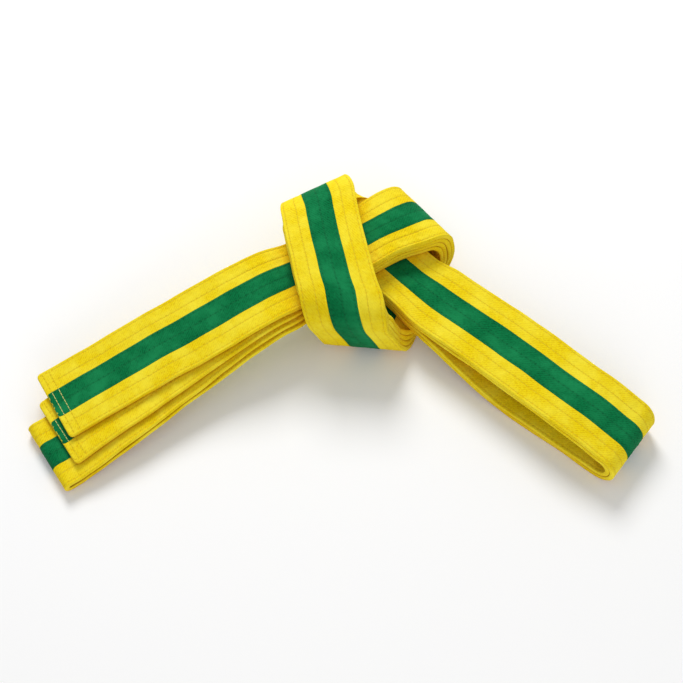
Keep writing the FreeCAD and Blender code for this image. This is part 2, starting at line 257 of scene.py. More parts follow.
def left_arm(layer):
    """From the knot outwards; the layers come down to the table like a stiff ramp."""
    end_x, end_y, end_heading, end_height = LEFT_END[layer]
    start = knot_layer(layer)[0][0]
    top = LEFT_ARM - 1.5 * PITCH
    rest = THICK / 2 - TRIM

    def height(p):
        away = p - flat_point(KNOT_IN[0], KNOT_IN[1])
        out = -(away @ heading(KNOT_IN[2]))
        stack = (4 - layer) * PITCH * (1 + (LEFT_LOOSE - 1) * ease(out / LOOSEN_LENGTH))
        fall = top + (rest - top) * ramp(out) + stack
        level = ease((out - LEVEL_START) / EASE_LENGTH)
        roll = LEFT_ROLL * ease(out / ROLL_LENGTH) * (1 - level)
        fall += roll * (away @ heading(KNOT_IN[2] + 90))
        own_end = end_height - rest - (4 - layer) * PITCH * LEFT_LOOSE
        return fall + own_end * ease((out - END_START) / EASE_LENGTH)

    last = 2.0 if layer > 2 else 8.0
    stations = run(start[:2], KNOT_IN[2] + 180, (end_x, end_y), end_heading,
                   height, 1, 6, last)
    return [(centre, normal, -width) for centre, normal, width in stations][1:]


# Right arm: two nested loops, layers 1 and 4 outside, 2 and 3 inside.
RIGHT_END = (139.5, -59.8, -38.0)
RIGHT_HEIGHT = {1: THICK / 2 - TRIM, 2: THICK / 2 - TRIM + PITCH, 3: 17.6, 4: 17.6 + PITCH}
RIGHT_DROP = 66.0      # over this distance the lower pair comes down to the table
# The upper pair arches up by the crown, then dips to the loop's end.
RIGHT_CROWN = 2.3
CROWN_RISE = 85.0
DIP_START = 88.0
DIP_LENGTH = 26.8
# The headings at which each layer leaves the knot and reaches the loop's end.
RIGHT_WAYS = {1: (-46.5, -38.0), 2: (-46.5, -38.0), 3: (-37.0, -38.0), 4: (-37.0, -38.0)}


def right_arm(layer):
    """From the knot outwards; the lower pair drops to the table, the upper stays up."""
    start = knot_layer(layer)[-1][0]

    def height(p):
        out = (p - flat_point(KNOT_OUT[0], KNOT_OUT[1])) @ heading(KNOT_OUT[2])
        if layer < 3:
            return start[2] + (RIGHT_HEIGHT[layer] - start[2]) * ease(out / RIGHT_DROP)
        crown = start[2] + RIGHT_CROWN * ease(out / CROWN_RISE)
        dip = min(max((out - DIP_START) / DIP_LENGTH, 0), 1)**2
        return crown + (RIGHT_HEIGHT[layer] - start[2] - RIGHT_CROWN) * dip

    leave, arrive = RIGHT_WAYS[layer]
    return run(start[:2], leave, RIGHT_END[:2], arrive, height, -1, 6, 3)[1:]


def turned_over(stations):
    """The same stretch walked the other way, with its face on the other side."""
    return [(centre, -normal, width) for centre, normal, width in reversed(stations)]


def belt_stretches():
    """The whole belt in nine stretches, from the upper tail's end to the lower tail's."""
    left = {layer: left_arm(layer)[::-1] for layer in LAYER_OFFSET}
    knot = {layer: knot_layer(layer) for layer in LAYER_OFFSET}
    right = {layer: right_arm(layer) for layer in LAYER_OFFSET}

    across_end = np.cross(-UP, heading(RIGHT_END[2]))
    outer_radius = (RIGHT_HEIGHT[4] - RIGHT_HEIGHT[1]) / 2
    inner_radius = (RIGHT_HEIGHT[3] - RIGHT_HEIGHT[2]) / 2
    outer = half_turn(right[1][-1], across_end, RIGHT_END[2], outer_radius, 1, 8)
    inner = half_turn(right[3][-1], across_end, RIGHT_END[2], inner_radius, -1, 8)
    inner = [(centre, -normal, width) for centre, normal, width in inner]
    fold_radius = (LEFT_END[3][3] - LEFT_END[4][3]) / 2
    fold_over = half_turn(left[4][0], left[4][0][2], LEFT_END[4][2], fold_radius, 1, 6)

    return [
        ("upper_tail", left[1]),
        ("knot_layer_1", knot[1]),
        ("outer_loop", right[1] + outer + turned_over(right[4])),
        ("knot_layer_4", turned_over(knot[4])),
        ("left_fold", turned_over(left[4]) + fold_over + left[3]),
        ("knot_layer_3", knot[3]),
        ("inner_loop", right[3] + inner + turned_over(right[2])),
        ("knot_layer_2", turned_over(knot[2])),
        ("lower_tail", turned_over(left[2])),
    ]


# Moves the whole belt so that the middle of its outline is over the origin.
MIDDLE = np.array([0.23, 0.12, 0.0])
STATIONS = []
STRETCH_ENDS = []
for name, stretch in belt_stretches():
    STATIONS += [(centre + MIDDLE, normal, width) for centre, normal, width in stretch]
    STRETCH_ENDS.append((name, len(STATIONS) - 1))
CENTRES = np.array([station[0] for station in STATIONS])
LENGTHS = np.concatenate([[0.0], np.cumsum(np.linalg.norm(np.diff(CENTRES, axis=0), axis=1))])
BELT_LENGTH = LENGTHS[-1]


# --------------------------------------------------------- the belt's surface

def bend_of(knots, values):
    """Second derivatives of the smooth curve through values, for each knot."""
    gaps = np.diff(knots)
    slopes = np.diff(values, axis=0) / gaps[:, None]
    matrix = np.eye(len(knots))
    right = np.zeros_like(values)
    for k in range(1, len(knots) - 1):
        matrix[k, k - 1] = gaps[k - 1]
        matrix[k, k] = 2 * (gaps[k - 1] + gaps[k])
        matrix[k, k + 1] = gaps[k]
        right[k] = 6 * (slopes[k] - slopes[k - 1])
    return np.linalg.solve(matrix, right)


ROUTE = np.array([np.concatenate(station) for station in STATIONS])
ROUTE_BEND = bend_of(LENGTHS, ROUTE)


def route_at(lengths):
    """Centre, outward normal and width direction at each length along the belt."""
    k = np.clip(np.searchsorted(LENGTHS, lengths) - 1, 0, len(LENGTHS) - 2)
    gap = (LENGTHS[k + 1] - LENGTHS[k])[:, None]
    b = (lengths - LENGTHS[k])[:, None] / gap
    a = 1 - b
    pull = (a**3 - a) * ROUTE_BEND[k] + (b**3 - b) * ROUTE_BEND[k + 1]
    found = a * ROUTE[k] + b * ROUTE[k + 1] + pull * gap**2 / 6
    return found[:, 0:3], found[:, 3:6], found[:, 6:9]


WAVE_RATES = (1.0, 1.73, 2.9)


def wander(t, seed):
    """A smooth, uneven wave between about -1 and 1."""
    waves = [np.sin(2 * np.pi * (t * rate + seed * (0.37 + 0.21 * rate))) / rate
             for rate in WAVE_RATES]
    return sum(waves) / 1.6


KNOT_MIDDLE = flat_point(12, 35)
KNOT_REACH = 55.0           # inside it the layers are held tight
LOOSE_LENGTH = 50.0         # over this distance from it they come loose
LYING_HEIGHT = 3.5          # below it they are held by the table


def ripple(points):
    """How far the loose arms rise and fall from their plain route."""
    x, y, z = points[..., 0], points[..., 1], points[..., 2]
    from_knot = np.hypot(x - KNOT_MIDDLE[0], y - KNOT_MIDDLE[1])
    loose = ease((from_knot - KNOT_REACH) / LOOSE_LENGTH) * ease((z - LYING_HEIGHT) / 8)
    long_wave = 0.45 * wander(x / 75 + y / 210, 3.1)
    short_wave = 0.25 * wander(y / 48 - x / 160, 1.7)
    return loose * (long_wave + short_wave)


# The wrap over the knot is arched, highest at its middle.
WRAP_MIDDLE = flat_point(3, 32)
WRAP_HEADING = 103
WRAP_REACH = 34.0
WRAP_ARCH = 2.4
WRAP_UNDERSIDE = 33.0


def arch(points):
    """How far the wrap's middle stands above its two folds."""
    along = heading(WRAP_HEADING)
    away = (points[..., 0] - WRAP_MIDDLE[0]) * along[0] + (points[..., 1] - WRAP_MIDDLE[1]) * along[1]
    dome = np.maximum(1 - (away / WRAP_REACH) ** 2, 0)
    return WRAP_ARCH * dome * ease((points[..., 2] - WRAP_UNDERSIDE) / 2)


# Where the belt turns over a fold its edges draw in, which blunts the corners: both
# corners at the top of the wrap, the far one at the right and the near one at the bottom.
CORNER_PULL = 4.2
NEAR_SHARE = 0.45           # the near corner is only a little blunt


def drawn_in(across, centre, normal):
    """How far each place moves towards the middle of the belt."""
    x, y = centre[:, 0:1], centre[:, 1:2]
    far = ease((y - 48 - 0.35 * x) / 8)
    near = NEAR_SHARE * ease((x + 8) / 6) * ease((8 - y) / 6) * (across < 0)
    over_fold = 1 - np.abs(normal[:, 2:3])
    return np.sign(across) * CORNER_PULL * over_fold * (far + near) * ease((np.abs(across) - 4) / 16)


TABLE_SOFT = 0.12           # the lowest cloth is pressed flat into this much


def above_table(height):
    """Flattens what would reach into the table."""
    low = TABLE_SOFT * np.exp(np.minimum(height - TABLE_SOFT, 0) / TABLE_SOFT)
    return np.where(height < TABLE_SOFT, low, height)


UNEVEN_WIDTH = 0.007        # share by which the belt's width varies
UNEVEN_LINE = 0.22          # distance by which its line wanders sideways


def place(lengths, across, out):
    """Points in metres for a grid: each length, and each place in the section there."""
    centre, normal, width = route_at(lengths)
    uneven = 1 + UNEVEN_WIDTH * wander(lengths / 83, 0.4)
    drift = UNEVEN_LINE * wander(lengths / 61, 2.3)
    sideways = across * uneven[:, None] + drift[:, None] - drawn_in(across, centre, normal)
    points = (centre[:, None, :] + width[:, None, :] * sideways[..., None]
              + normal[:, None, :] * out[..., None])
    points[..., 2] += ripple(points) + arch(points)
    points[..., 2] = above_table(points[..., 2])
    return points * MM


# The quilted face: its height above the middle plane, how deep the stitch rows and the
# holes in them pull it in, how wide that dip is, and how far, how wide and how often the
# cloth between two rows sinks where it doesn't puff up.
FACE_HEIGHT = 1.385
ROW_DEPTH = 0.13
HOLE_DEPTH = 0.08
VALLEY = 1.0
PUFF = 0.15
PUFF_REACH = 1.6
PUFF_LENGTH = 9.3


def stitch_phase(length, row_number):
    """0 or 1 where the needle went in, 0.5 at the middle of a stitch."""
    return (length / STITCH + row_number * ROW_STAGGER) % 1.0


def hole_share(length, row_number):
    """1 at a needle hole, 0 at the middle of a stitch."""
    return ((1 + np.cos(2 * np.pi * stitch_phase(length, row_number))) / 2) ** 2


def face_height(across, length, side):
    """Height of the quilted cloth above the belt's middle plane."""
    height = np.full(np.broadcast(across, length).shape, FACE_HEIGHT)
    for number, row in enumerate(ROWS):
        near = np.exp(-((across - row) / VALLEY) ** 2)
        height = height - near * (ROW_DEPTH + HOLE_DEPTH * hole_share(length, number))
        puff = np.exp(-((across - row - ROW_PITCH / 2) / PUFF_REACH) ** 2)
        height = height - PUFF * puff * (1 + wander(length / PUFF_LENGTH, number + 5 * side + 0.3))
    return height


def across_places(row_steps):
    """Where a face is sampled across, with the given steps round each stitch row."""
    places = [row + step for row in ROWS for step in row_steps]
    places += [row + ROW_PITCH * share for row in ROWS[:-1] for share in (0.36, 0.5, 0.64)]
    places += [sign * place for sign in (-1, 1) for place in (TAPE_HALF - 0.12, TAPE_HALF + 0.1)]
    return np.array(sorted(places))


FACE_PLACES = across_places((-1.25, -0.7, -0.32, 0.0, 0.32, 0.7, 1.25))
TAPE_PLACES = across_places((-0.7, 0.0, 0.7))
EDGE_REACH = FACE_PLACES[-1]
EDGE_TURNS = np.radians([62, 32, 0, -32, -62])
EDGE_ARC = 3.6                      # cloth round one long edge
HALF_ROUND = EDGE_REACH * 2 + EDGE_ARC
EDGE_SWELL = 1.30                   # half the thickness of the rounded edge
TAPE_THICK = 0.2
TAPE_SEAT = 0.19                    # the cover is this much lower under a tape


def section_of_cover(lengths):
    """across, out and distance round the cloth, for one ring at each length."""
    n = len(lengths)
    grid = lengths[:, None]
    front = face_height(FACE_PLACES[None, :], grid, 1)
    back = face_height(FACE_PLACES[None, ::-1], grid, -1)
    under_tape = np.clip((TAPE_HALF + 0.06 - np.abs(FACE_PLACES)) / 0.16, 0, 1)
    front = front - TAPE_SEAT * under_tape
    back = back - TAPE_SEAT * under_tape[::-1]
    swell = EDGE_SWELL + 0.05 * wander(grid / 14, 4.4)
    right_across = EDGE_REACH + (WIDTH / 2 - EDGE_REACH) * np.cos(EDGE_TURNS) ** 0.7
    edge_out = np.sin(EDGE_TURNS)[None, :] * swell
    right = np.broadcast_to(right_across, (n, len(EDGE_TURNS)))
    across = np.concatenate([
        np.broadcast_to(FACE_PLACES, (n, len(FACE_PLACES))), right,
        np.broadcast_to(FACE_PLACES[::-1], (n, len(FACE_PLACES))), -right], axis=1)
    out = np.concatenate([front, edge_out, -back, -edge_out], axis=1)
    arc = EDGE_ARC * (np.arange(len(EDGE_TURNS)) + 1) / (len(EDGE_TURNS) + 1)
    around = np.concatenate([
        FACE_PLACES, EDGE_REACH + arc, HALF_ROUND + FACE_PLACES, HALF_ROUND + EDGE_REACH + arc])
    return across, out, around


RIM = 1.1                           # length over which the ends round off
RIM_CLOSING = 0.97                  # how nearly the two faces meet at the very end


def rounded_end(lengths, across, out):
    """Rounds the corners and the rim at the belt's two ends."""
    from_end = np.minimum(lengths, BELT_LENGTH - lengths)[:, None]
    near = np.clip(CORNER - from_end, 0, CORNER)
    half = WIDTH / 2 - CORNER + np.sqrt(np.maximum(CORNER**2 - near**2, 0))
    rim = np.clip(1 - from_end / RIM, 0, 1)
    flat = np.sqrt(np.maximum(1 - rim**2 * RIM_CLOSING, 0))
    return across * half / (WIDTH / 2), out * flat


# ------------------------------------------------------------------ meshes

def faces_out(points, faces):
    """True where the faces of a closed piece turn outwards."""
    corner = points.reshape(-1, 3)[faces]
    corner = corner - corner[0, 0]
    crossed = np.cross(corner[:, 2] - corner[:, 0], corner[:, 3] - corner[:, 1])
    return (crossed * corner.mean(1)).sum() > 0


def mark_sharp(mesh, count):
    """Sharp edges round the first and last ring, so that the caps don't shade the sides."""
    ends = np.zeros(len(mesh.edges) * 2, np.int32)
    mesh.edges.foreach_get("vertices", ends)
    ring = ends.reshape(-1, 2) // count
    last = len(mesh.vertices) // count - 1
    sharp = (ring[:, 0] == ring[:, 1]) & ((ring[:, 0] == 0) | (ring[:, 0] == last))
    mesh.edges.foreach_set("use_edge_sharp", sharp)


def add_mesh(name, points, faces, round_uv, flat_faces=0):
    """A mesh with its cloth coordinates (mm along the belt, mm round it) as a UV map."""
    if not faces_out(points, faces):
        faces = faces[:, ::-1]
        round_uv = round_uv[:, ::-1]
    mesh = bpy.data.meshes.new(name)
    mesh.from_pydata(points.reshape(-1, 3).tolist(), [], faces.tolist())
    layer = mesh.uv_layers.new(name="cloth")
    layer.data.foreach_set("uv", round_uv.astype(np.float32).ravel())
    smooth = np.ones(len(faces), dtype=bool)
    if flat_faces:
        smooth[-flat_faces:] = False
    mesh.polygons.foreach_set("use_smooth", smooth)
    mark_sharp(mesh, points.shape[1])
    mesh.update()
    piece = bpy.data.objects.new(name, mesh)
    bpy.context.scene.collection.objects.link(piece)
    return piece


def ring_faces(rings, count):
    """Quads between neighbouring rings of count points each."""
    ring = np.arange(rings - 1)[:, None] * count
    here = np.arange(count)[None, :]
    after = (here + 1) % count
    faces = np.stack([ring + here, ring + after, ring + count + after, ring + count + here], -1)
    return faces.reshape(-1, 4)


def cap_faces(first_point, count, flip):
    """Quads that close a ring whose second half runs back under its first half."""
    half = count // 2
    here = np.arange(half - 1)
    left, right = here, here + 1
    below_left, below_right = count - 1 - here, count - 2 - here
    order = [left, below_left, below_right, right] if flip else [left, right, below_right, below_left]
    return np.stack(order, -1) + first_point


def tube(name, lengths, across, out, around, whole_round):
    """A closed tube of rings; around gives each ring point's place round the cloth."""
    rings, count = across.shape
    points = place(lengths, across, out)
    sides = ring_faces(rings, count)
    caps = np.concatenate([cap_faces(0, count, True), cap_faces((rings - 1) * count, count, False)])
    faces = np.concatenate([sides, caps])
    along_of = np.repeat(lengths, count)
    around_of = np.tile(around, rings)
    uv = np.stack([along_of[faces], around_of[faces]], -1)
    seam = sides[:, 1] % count == 0
    uv[:len(sides)][seam, 1, 1] += whole_round
    uv[:len(sides)][seam, 2, 1] += whole_round
    return add_mesh(name, points, faces, uv, len(caps))


COVER_STEP = 0.75
TAPE_STEP = 1.0
PADDING_STEP = 3.0
END_STEPS = np.array([0.0, 0.12, 0.3, 0.55, 0.85, 1.2, 1.7, 2.2])
END_ZONE = 2.6


def steps_between(begin, end, step):
    return np.linspace(begin, end, max(2, int(round((end - begin) / step))) + 1)


def make_cover(name, begin, end):
    """One stretch of the quilted cotton tube."""
    lengths = steps_between(begin, end, COVER_STEP)
    if begin == 0:
        lengths = np.concatenate([END_STEPS, lengths[lengths > END_ZONE]])
    if end == BELT_LENGTH:
        lengths = np.concatenate([lengths[lengths < end - END_ZONE], end - END_STEPS[::-1]])
    across, out, around = section_of_cover(lengths)
    across, out = rounded_end(lengths, across, out)
    return tube(name, lengths, across, out, around, 2 * HALF_ROUND)


TAPE_INSET = 0.15                   # from the belt's ends
SCALLOP = 0.07                      # how far the stitches pull the tape's edge in
TAPE_STAND = 0.03                   # how far the tape stands above the plain cloth
TAPE_EDGE_DROP = 0.08
TAPE_BEVEL = 0.1                    # the underside is this much narrower at each edge


def make_tape(name, side):
    """The contrast tape, sewn down the middle of one face."""
    lengths = steps_between(TAPE_INSET, BELT_LENGTH - TAPE_INSET, TAPE_STEP)
    inner = TAPE_PLACES[np.abs(TAPE_PLACES) < TAPE_HALF - 0.2]
    places = np.concatenate([[-TAPE_HALF], inner, [TAPE_HALF]])
    top = face_height(places[None, :], lengths[:, None], side)
    across = np.broadcast_to(places, top.shape).copy()
    across[:, 0] += SCALLOP * hole_share(lengths, 2)
    across[:, -1] -= SCALLOP * hole_share(lengths, 4)
    top = top + TAPE_STAND
    top[:, [0, -1]] -= TAPE_EDGE_DROP
    low = np.linspace(TAPE_HALF - TAPE_BEVEL, TAPE_BEVEL - TAPE_HALF, len(places))
    nearest = np.round(np.interp(low, places, np.arange(len(places)))).astype(int)
    bottom = top[:, nearest] - TAPE_THICK
    ring_across = np.concatenate([across, np.broadcast_to(low, bottom.shape)], axis=1)
    ring_out = np.concatenate([top, bottom], axis=1)
    around = np.concatenate([places, low])
    ring_across, ring_out = rounded_end(lengths, ring_across, ring_out)
    if side < 0:
        ring_out = -ring_out
        ring_across, ring_out, around = ring_across[:, ::-1], ring_out[:, ::-1], around[::-1]
    return tube(name, lengths, ring_across, ring_out, around, 0)


THREAD_SIDES = 6


def thread_ring(radius):
    """The thread's section: across and out of each corner."""
    turns = 2 * np.pi * (np.arange(THREAD_SIDES) + 0.5) / THREAD_SIDES
    return radius * np.cos(turns), radius * np.sin(turns)


THREAD_RADIUS = 0.19
END_THREAD_RADIUS = 0.21
HOLE_HEIGHT = 0.86                  # of the thread's middle where it goes in
STITCH_RISE = 0.31                  # from there to the middle of a stitch
THREAD_SWAY = 0.05
END_HOLE_DEPTH = 0.27               # of the same middle under the cloth, in the rows across
END_STITCH_RISE = 0.36


def make_thread(name, row_number, side):
    """One row of lock stitches: the thread lies on the cloth and dips in at each hole."""
    row = ROWS[row_number]
    lengths = steps_between(ROW_START, BELT_LENGTH - ROW_START, STITCH / 4)
    phase = stitch_phase(lengths, row_number)
    lift = np.sin(np.pi * phase) ** 0.5
    middle = HOLE_HEIGHT + STITCH_RISE * lift
    sway = row + THREAD_SWAY * wander(lengths / 11, row_number + side)
    ring_across, ring_out = thread_ring(THREAD_RADIUS)
    across = sway[:, None] + ring_across[None, :]
    out = side * (middle[:, None] + ring_out[None, :])
    if side < 0:
        across, out = across[:, ::-1], out[:, ::-1]
    around = np.linspace(0, 1, len(ring_across))
    return tube(name, lengths, across[:, ::-1], out[:, ::-1], around, 0)


def make_end_row(name, at, side):
    """One row of stitches across a tail, close to its end."""
    reach = END_ROW_LENGTH / 2
    places = np.arange(-reach, reach, END_STITCH / 6)
    phase = ((places + reach) / END_STITCH) % 1.0
    lift = np.sin(np.pi * phase) ** 0.6
    cloth = face_height(places, np.full_like(places, at), side)
    middle = cloth - END_HOLE_DEPTH + END_STITCH_RISE * lift
    ring_along, ring_out = thread_ring(END_THREAD_RADIUS)
    rings = len(places)
    along = at + ring_along[None, :] + np.zeros((rings, 1))
    out = side * (middle[:, None] + ring_out[None, :])
    count = len(ring_along)
    points = np.zeros((rings, count, 3))
    for k in range(count):
        points[:, k, :] = place(along[:, k], places[:, None], out[:, k:k + 1])[:, 0, :]
    sides = ring_faces(rings, count)
    if side > 0:
        sides = sides[:, ::-1]
    caps = np.concatenate([cap_faces(0, count, side < 0),
                           cap_faces((rings - 1) * count, count, side > 0)])
    faces = np.concatenate([sides, caps])
    uv = np.stack([np.repeat(places, count)[faces], np.tile(np.arange(count), rings)[faces]], -1)
    return add_mesh(name, points, faces, uv, len(caps))


PADDING_HALF = 18.6
PADDING_INSET = 1.0
PADDING_SWELL = 0.42


def make_padding(name):
    """The wadding inside the cover, thinner under each stitch row."""
    lengths = steps_between(PADDING_INSET, BELT_LENGTH - PADDING_INSET, PADDING_STEP)
    places = np.linspace(-PADDING_HALF, PADDING_HALF, 13)
    swell = PADDING_SWELL + 0.08 * np.cos(2 * np.pi * places / ROW_PITCH + np.pi)
    ring_across = np.concatenate([places, places[::-1]])
    ring_out = np.concatenate([swell, -swell[::-1]])
    shape = (len(lengths), len(ring_across))
    across = np.broadcast_to(ring_across, shape)
    out = np.broadcast_to(ring_out, shape)
    return tube(name, lengths, across, out, ring_across, 0)


# --------------------------------------------------------------- materials

CREVICE_SHADE_REACH = 0.014       # metres within which the layers round a place bring painted shade into its colour


class Nodes:
    """Short ways to add and link shader nodes of one material."""

    def __init__(self, name):
        self.material = bpy.data.materials.new(name)
        self.material.use_nodes = True
        self.tree = self.material.node_tree
        self.shader = self.tree.nodes["Principled BSDF"]

    def add(self, kind, **settings):
        node = self.tree.nodes.new(kind)
        for key, value in settings.items():
            setattr(node, key, value)
        return node

    def plug(self, value, socket):
        if isinstance(value, bpy.types.NodeSocket):
            self.tree.links.new(value, socket)
        else:
            socket.default_value = value

    def math(self, operation, one, two=0.0, three=0.0, clamp=False):
        node = self.add("ShaderNodeMath", operation=operation, use_clamp=clamp)
        for value, socket in zip((one, two, three), node.inputs):
            self.plug(value, socket)
        return node.outputs[0]

    def smooth(self, value, low, high, to_low=0.0, to_high=1.0):
        node = self.add("ShaderNodeMapRange", interpolation_type="SMOOTHSTEP")
        for number, given in enumerate((value, low, high, to_low, to_high)):
            self.plug(given, node.inputs[number])
        return node.outputs[0]

    def mix(self, share, one, two, kind="MIX"):
        node = self.add("ShaderNodeMix", data_type="RGBA", blend_type=kind)
        self.plug(share, node.inputs[0])
        self.plug(one, node.inputs[6])
        self.plug(two, node.inputs[7])
        return node.outputs[2]

    def noise(self, vector, scale, detail=2.0, roughness=0.5):
        node = self.add("ShaderNodeTexNoise")
        self.plug(vector, node.inputs["Vector"])
        node.inputs["Scale"].default_value = scale
        node.inputs["Detail"].default_value = detail
        node.inputs["Roughness"].default_value = roughness
        return node.outputs[0]

    def join(self, x, y, z=0.0):
        node = self.add("ShaderNodeCombineXYZ")
        for value, socket in zip((x, y, z), node.inputs):
            self.plug(value, socket)
        return node.outputs[0]

    def cloth(self):
        """Distance along the belt and round it, in millimetres."""
        uv = self.add("ShaderNodeUVMap", uv_map="cloth").outputs[0]
        parts = self.add("ShaderNodeSeparateXYZ")
        self.plug(uv, parts.inputs[0])
        return parts.outputs[0], parts.outputs[1]

    def crevice_shade(self):
        """Painted shade: 0 on open cloth, more where a place is hemmed in by the layers round it."""
        node = self.add("ShaderNodeAmbientOcclusion", samples=6)
        node.inputs["Distance"].default_value = CREVICE_SHADE_REACH
        return self.smooth(node.outputs["AO"], 0.1, 0.95, 0.9, 0.0)

    def bump(self, height, distance, strength=1.0):
        node = self.add("ShaderNodeBump")
        node.inputs["Strength"].default_value = strength
        node.inputs["Distance"].default_value = distance
        self.plug(height, node.inputs["Height"])
        self.plug(node.outputs[0], self.shader.inputs["Normal"])


RIB_PITCH = 1.05
RIB_ANGLE = math.radians(38)        # between the twill's ribs and the belt's length


def wave(nodes, value, pitch, shift=0.0):
    """0 to 1 and back once for each pitch."""
    turns = nodes.math("MULTIPLY_ADD", value, 2 * math.pi / pitch, shift)
    return nodes.math("MULTIPLY_ADD", nodes.math("SINE", turns), 0.5, 0.5)


def twill(nodes, along, around):
    """Slanted ribs broken into short strokes, as a height from 0 to 1."""
    drift = nodes.noise(nodes.join(along, around), 0.6, 3.0)
    drift = nodes.math("MULTIPLY_ADD", drift, 1.2, -0.6)
    cos, sin = math.cos(RIB_ANGLE), math.sin(RIB_ANGLE)
    over = nodes.math("SUBTRACT", nodes.math("MULTIPLY", around, cos),
                      nodes.math("MULTIPLY", along, sin))
    over = nodes.math("ADD", over, drift)
    down = nodes.math("ADD", nodes.math("MULTIPLY", along, cos),
                      nodes.math("MULTIPLY", around, sin))
    ribs = wave(nodes, over, RIB_PITCH)
    strokes = nodes.noise(nodes.join(nodes.math("MULTIPLY", down, 0.55), over), 1.6, 2.0)
    strokes = nodes.smooth(strokes, 0.3, 0.7)
    return nodes.math("MULTIPLY_ADD", ribs, 0.45, nodes.math("MULTIPLY", strokes, 0.55))


def holes_and_valleys(nodes, along, across):
    """How near a place is to a stitch row, and to the holes in it."""
    row = nodes.math("ROUND", nodes.math("DIVIDE", across, ROW_PITCH))
    away = nodes.math("ABSOLUTE", nodes.math("MULTIPLY_ADD", row, -ROW_PITCH, across))
    valley = nodes.smooth(away, 0.15, 1.25, 1.0, 0.0)
    number = nodes.math("ADD", row, 3.0)
    turns = nodes.math("ADD", nodes.math("DIVIDE", along, STITCH),
                       nodes.math("MULTIPLY", number, ROW_STAGGER))
    phase = nodes.math("FRACT", turns)
    from_hole = nodes.math("MINIMUM", phase, nodes.math("SUBTRACT", 1.0, phase))
    near = nodes.smooth(nodes.math("MULTIPLY", from_hole, STITCH), 0.1, 0.75, 1.0, 0.0)
    hole = nodes.math("MULTIPLY", near, nodes.smooth(away, 0.1, 0.7, 1.0, 0.0))
    return valley, hole


def cloth_material(name, light, middle, groove_shade, painted_shade, folded):
    """Cotton twill. Its raised ribs take the middle colour and its paler patches and flecks the light
    one; the deep colour is painted shade in its grooves and pulled-in rows, and the last colour is
    deeper painted shade in its needle holes and between layers.
    """
    nodes = Nodes(name)
    along, around = nodes.cloth()
    across = around
    if folded:
        shifted = nodes.math("ADD", around, HALF_ROUND / 2)
        across = nodes.math("SUBTRACT", nodes.math("PINGPONG", shifted, HALF_ROUND), HALF_ROUND / 2)
    ribs = twill(nodes, along, around)
    valley, hole = holes_and_valleys(nodes, along, across)
    patches = nodes.noise(nodes.join(along, around), 0.06, 4.0, 0.6)
    flecks = nodes.noise(nodes.join(along, around), 1.1, 3.0, 0.7)

    # painted shade: the twill's grooves take the deep colour
    colour = nodes.mix(nodes.smooth(ribs, -0.15, 0.75), groove_shade, middle)
    colour = nodes.mix(nodes.smooth(patches, 0.35, 0.7, 0.0, 0.75), colour, light)
    colour = nodes.mix(nodes.smooth(flecks, 0.5, 0.8, 0.0, 0.4), colour, light)
    # painted shade along the pulled-in stitch rows
    colour = nodes.mix(nodes.math("MULTIPLY", valley, 0.08), colour, groove_shade)
    # painted shade in the needle holes
    colour = nodes.mix(nodes.math("MULTIPLY", hole, 0.4), colour, painted_shade)
    # painted shade in the crevices between layers and inside the loops, from an occlusion node
    colour = nodes.mix(nodes.crevice_shade(), colour, painted_shade)
    nodes.plug(colour, nodes.shader.inputs["Base Color"])

    rough = nodes.math("MULTIPLY_ADD", flecks, 0.16, 0.78)
    nodes.plug(rough, nodes.shader.inputs["Roughness"])
    nodes.shader.inputs["Specular IOR Level"].default_value = 0.04
    nodes.shader.inputs["Sheen Weight"].default_value = 0.03
    nodes.shader.inputs["Sheen Roughness"].default_value = 0.45

    height = nodes.math("MULTIPLY_ADD", ribs, 0.1, nodes.math("MULTIPLY", flecks, 0.1))
    height = nodes.math("SUBTRACT", height, nodes.math("MULTIPLY", hole, 0.1))
    nodes.bump(height, MM)
    return nodes.material


def thread_material(name, bright, dim, beside=None):
    """Spun thread with its twist showing; beside is its colour off the tape."""
    nodes = Nodes(name)
    along, around = nodes.cloth()
    twist = wave(nodes, nodes.math("ADD", along, nodes.math("MULTIPLY", around, 0.4)), 0.4)
    fluff = nodes.noise(nodes.join(along, around), 1.3, 2.0)
    colour = nodes.mix(nodes.smooth(twist, 0.1, 0.9), dim, bright)
    colour = nodes.mix(nodes.math("MULTIPLY", fluff, 0.35), colour, dim)
    if beside:
        off_tape = nodes.smooth(nodes.math("ABSOLUTE", along), TAPE_HALF - 0.2, TAPE_HALF + 0.2)
        colour = nodes.mix(off_tape, colour, beside)
    nodes.plug(colour, nodes.shader.inputs["Base Color"])
    nodes.plug(nodes.math("MULTIPLY_ADD", fluff, 0.2, 0.5), nodes.shader.inputs["Roughness"])
    nodes.shader.inputs["Specular IOR Level"].default_value = 0.1
    nodes.bump(twist, 0.05 * MM)
    return nodes.material


def padding_material():
    nodes = Nodes("raw_wadding")
    along, around = nodes.cloth()
    fluff = nodes.noise(nodes.join(along, around), 0.8, 5.0, 0.7)
    colour = nodes.mix(fluff, (0.72, 0.68, 0.58, 1), (0.9, 0.88, 0.82, 1))
    nodes.plug(colour, nodes.shader.inputs["Base Color"])
    nodes.shader.inputs["Roughness"].default_value = 0.95
    nodes.bump(fluff, 0.3 * MM)
    return nodes.material


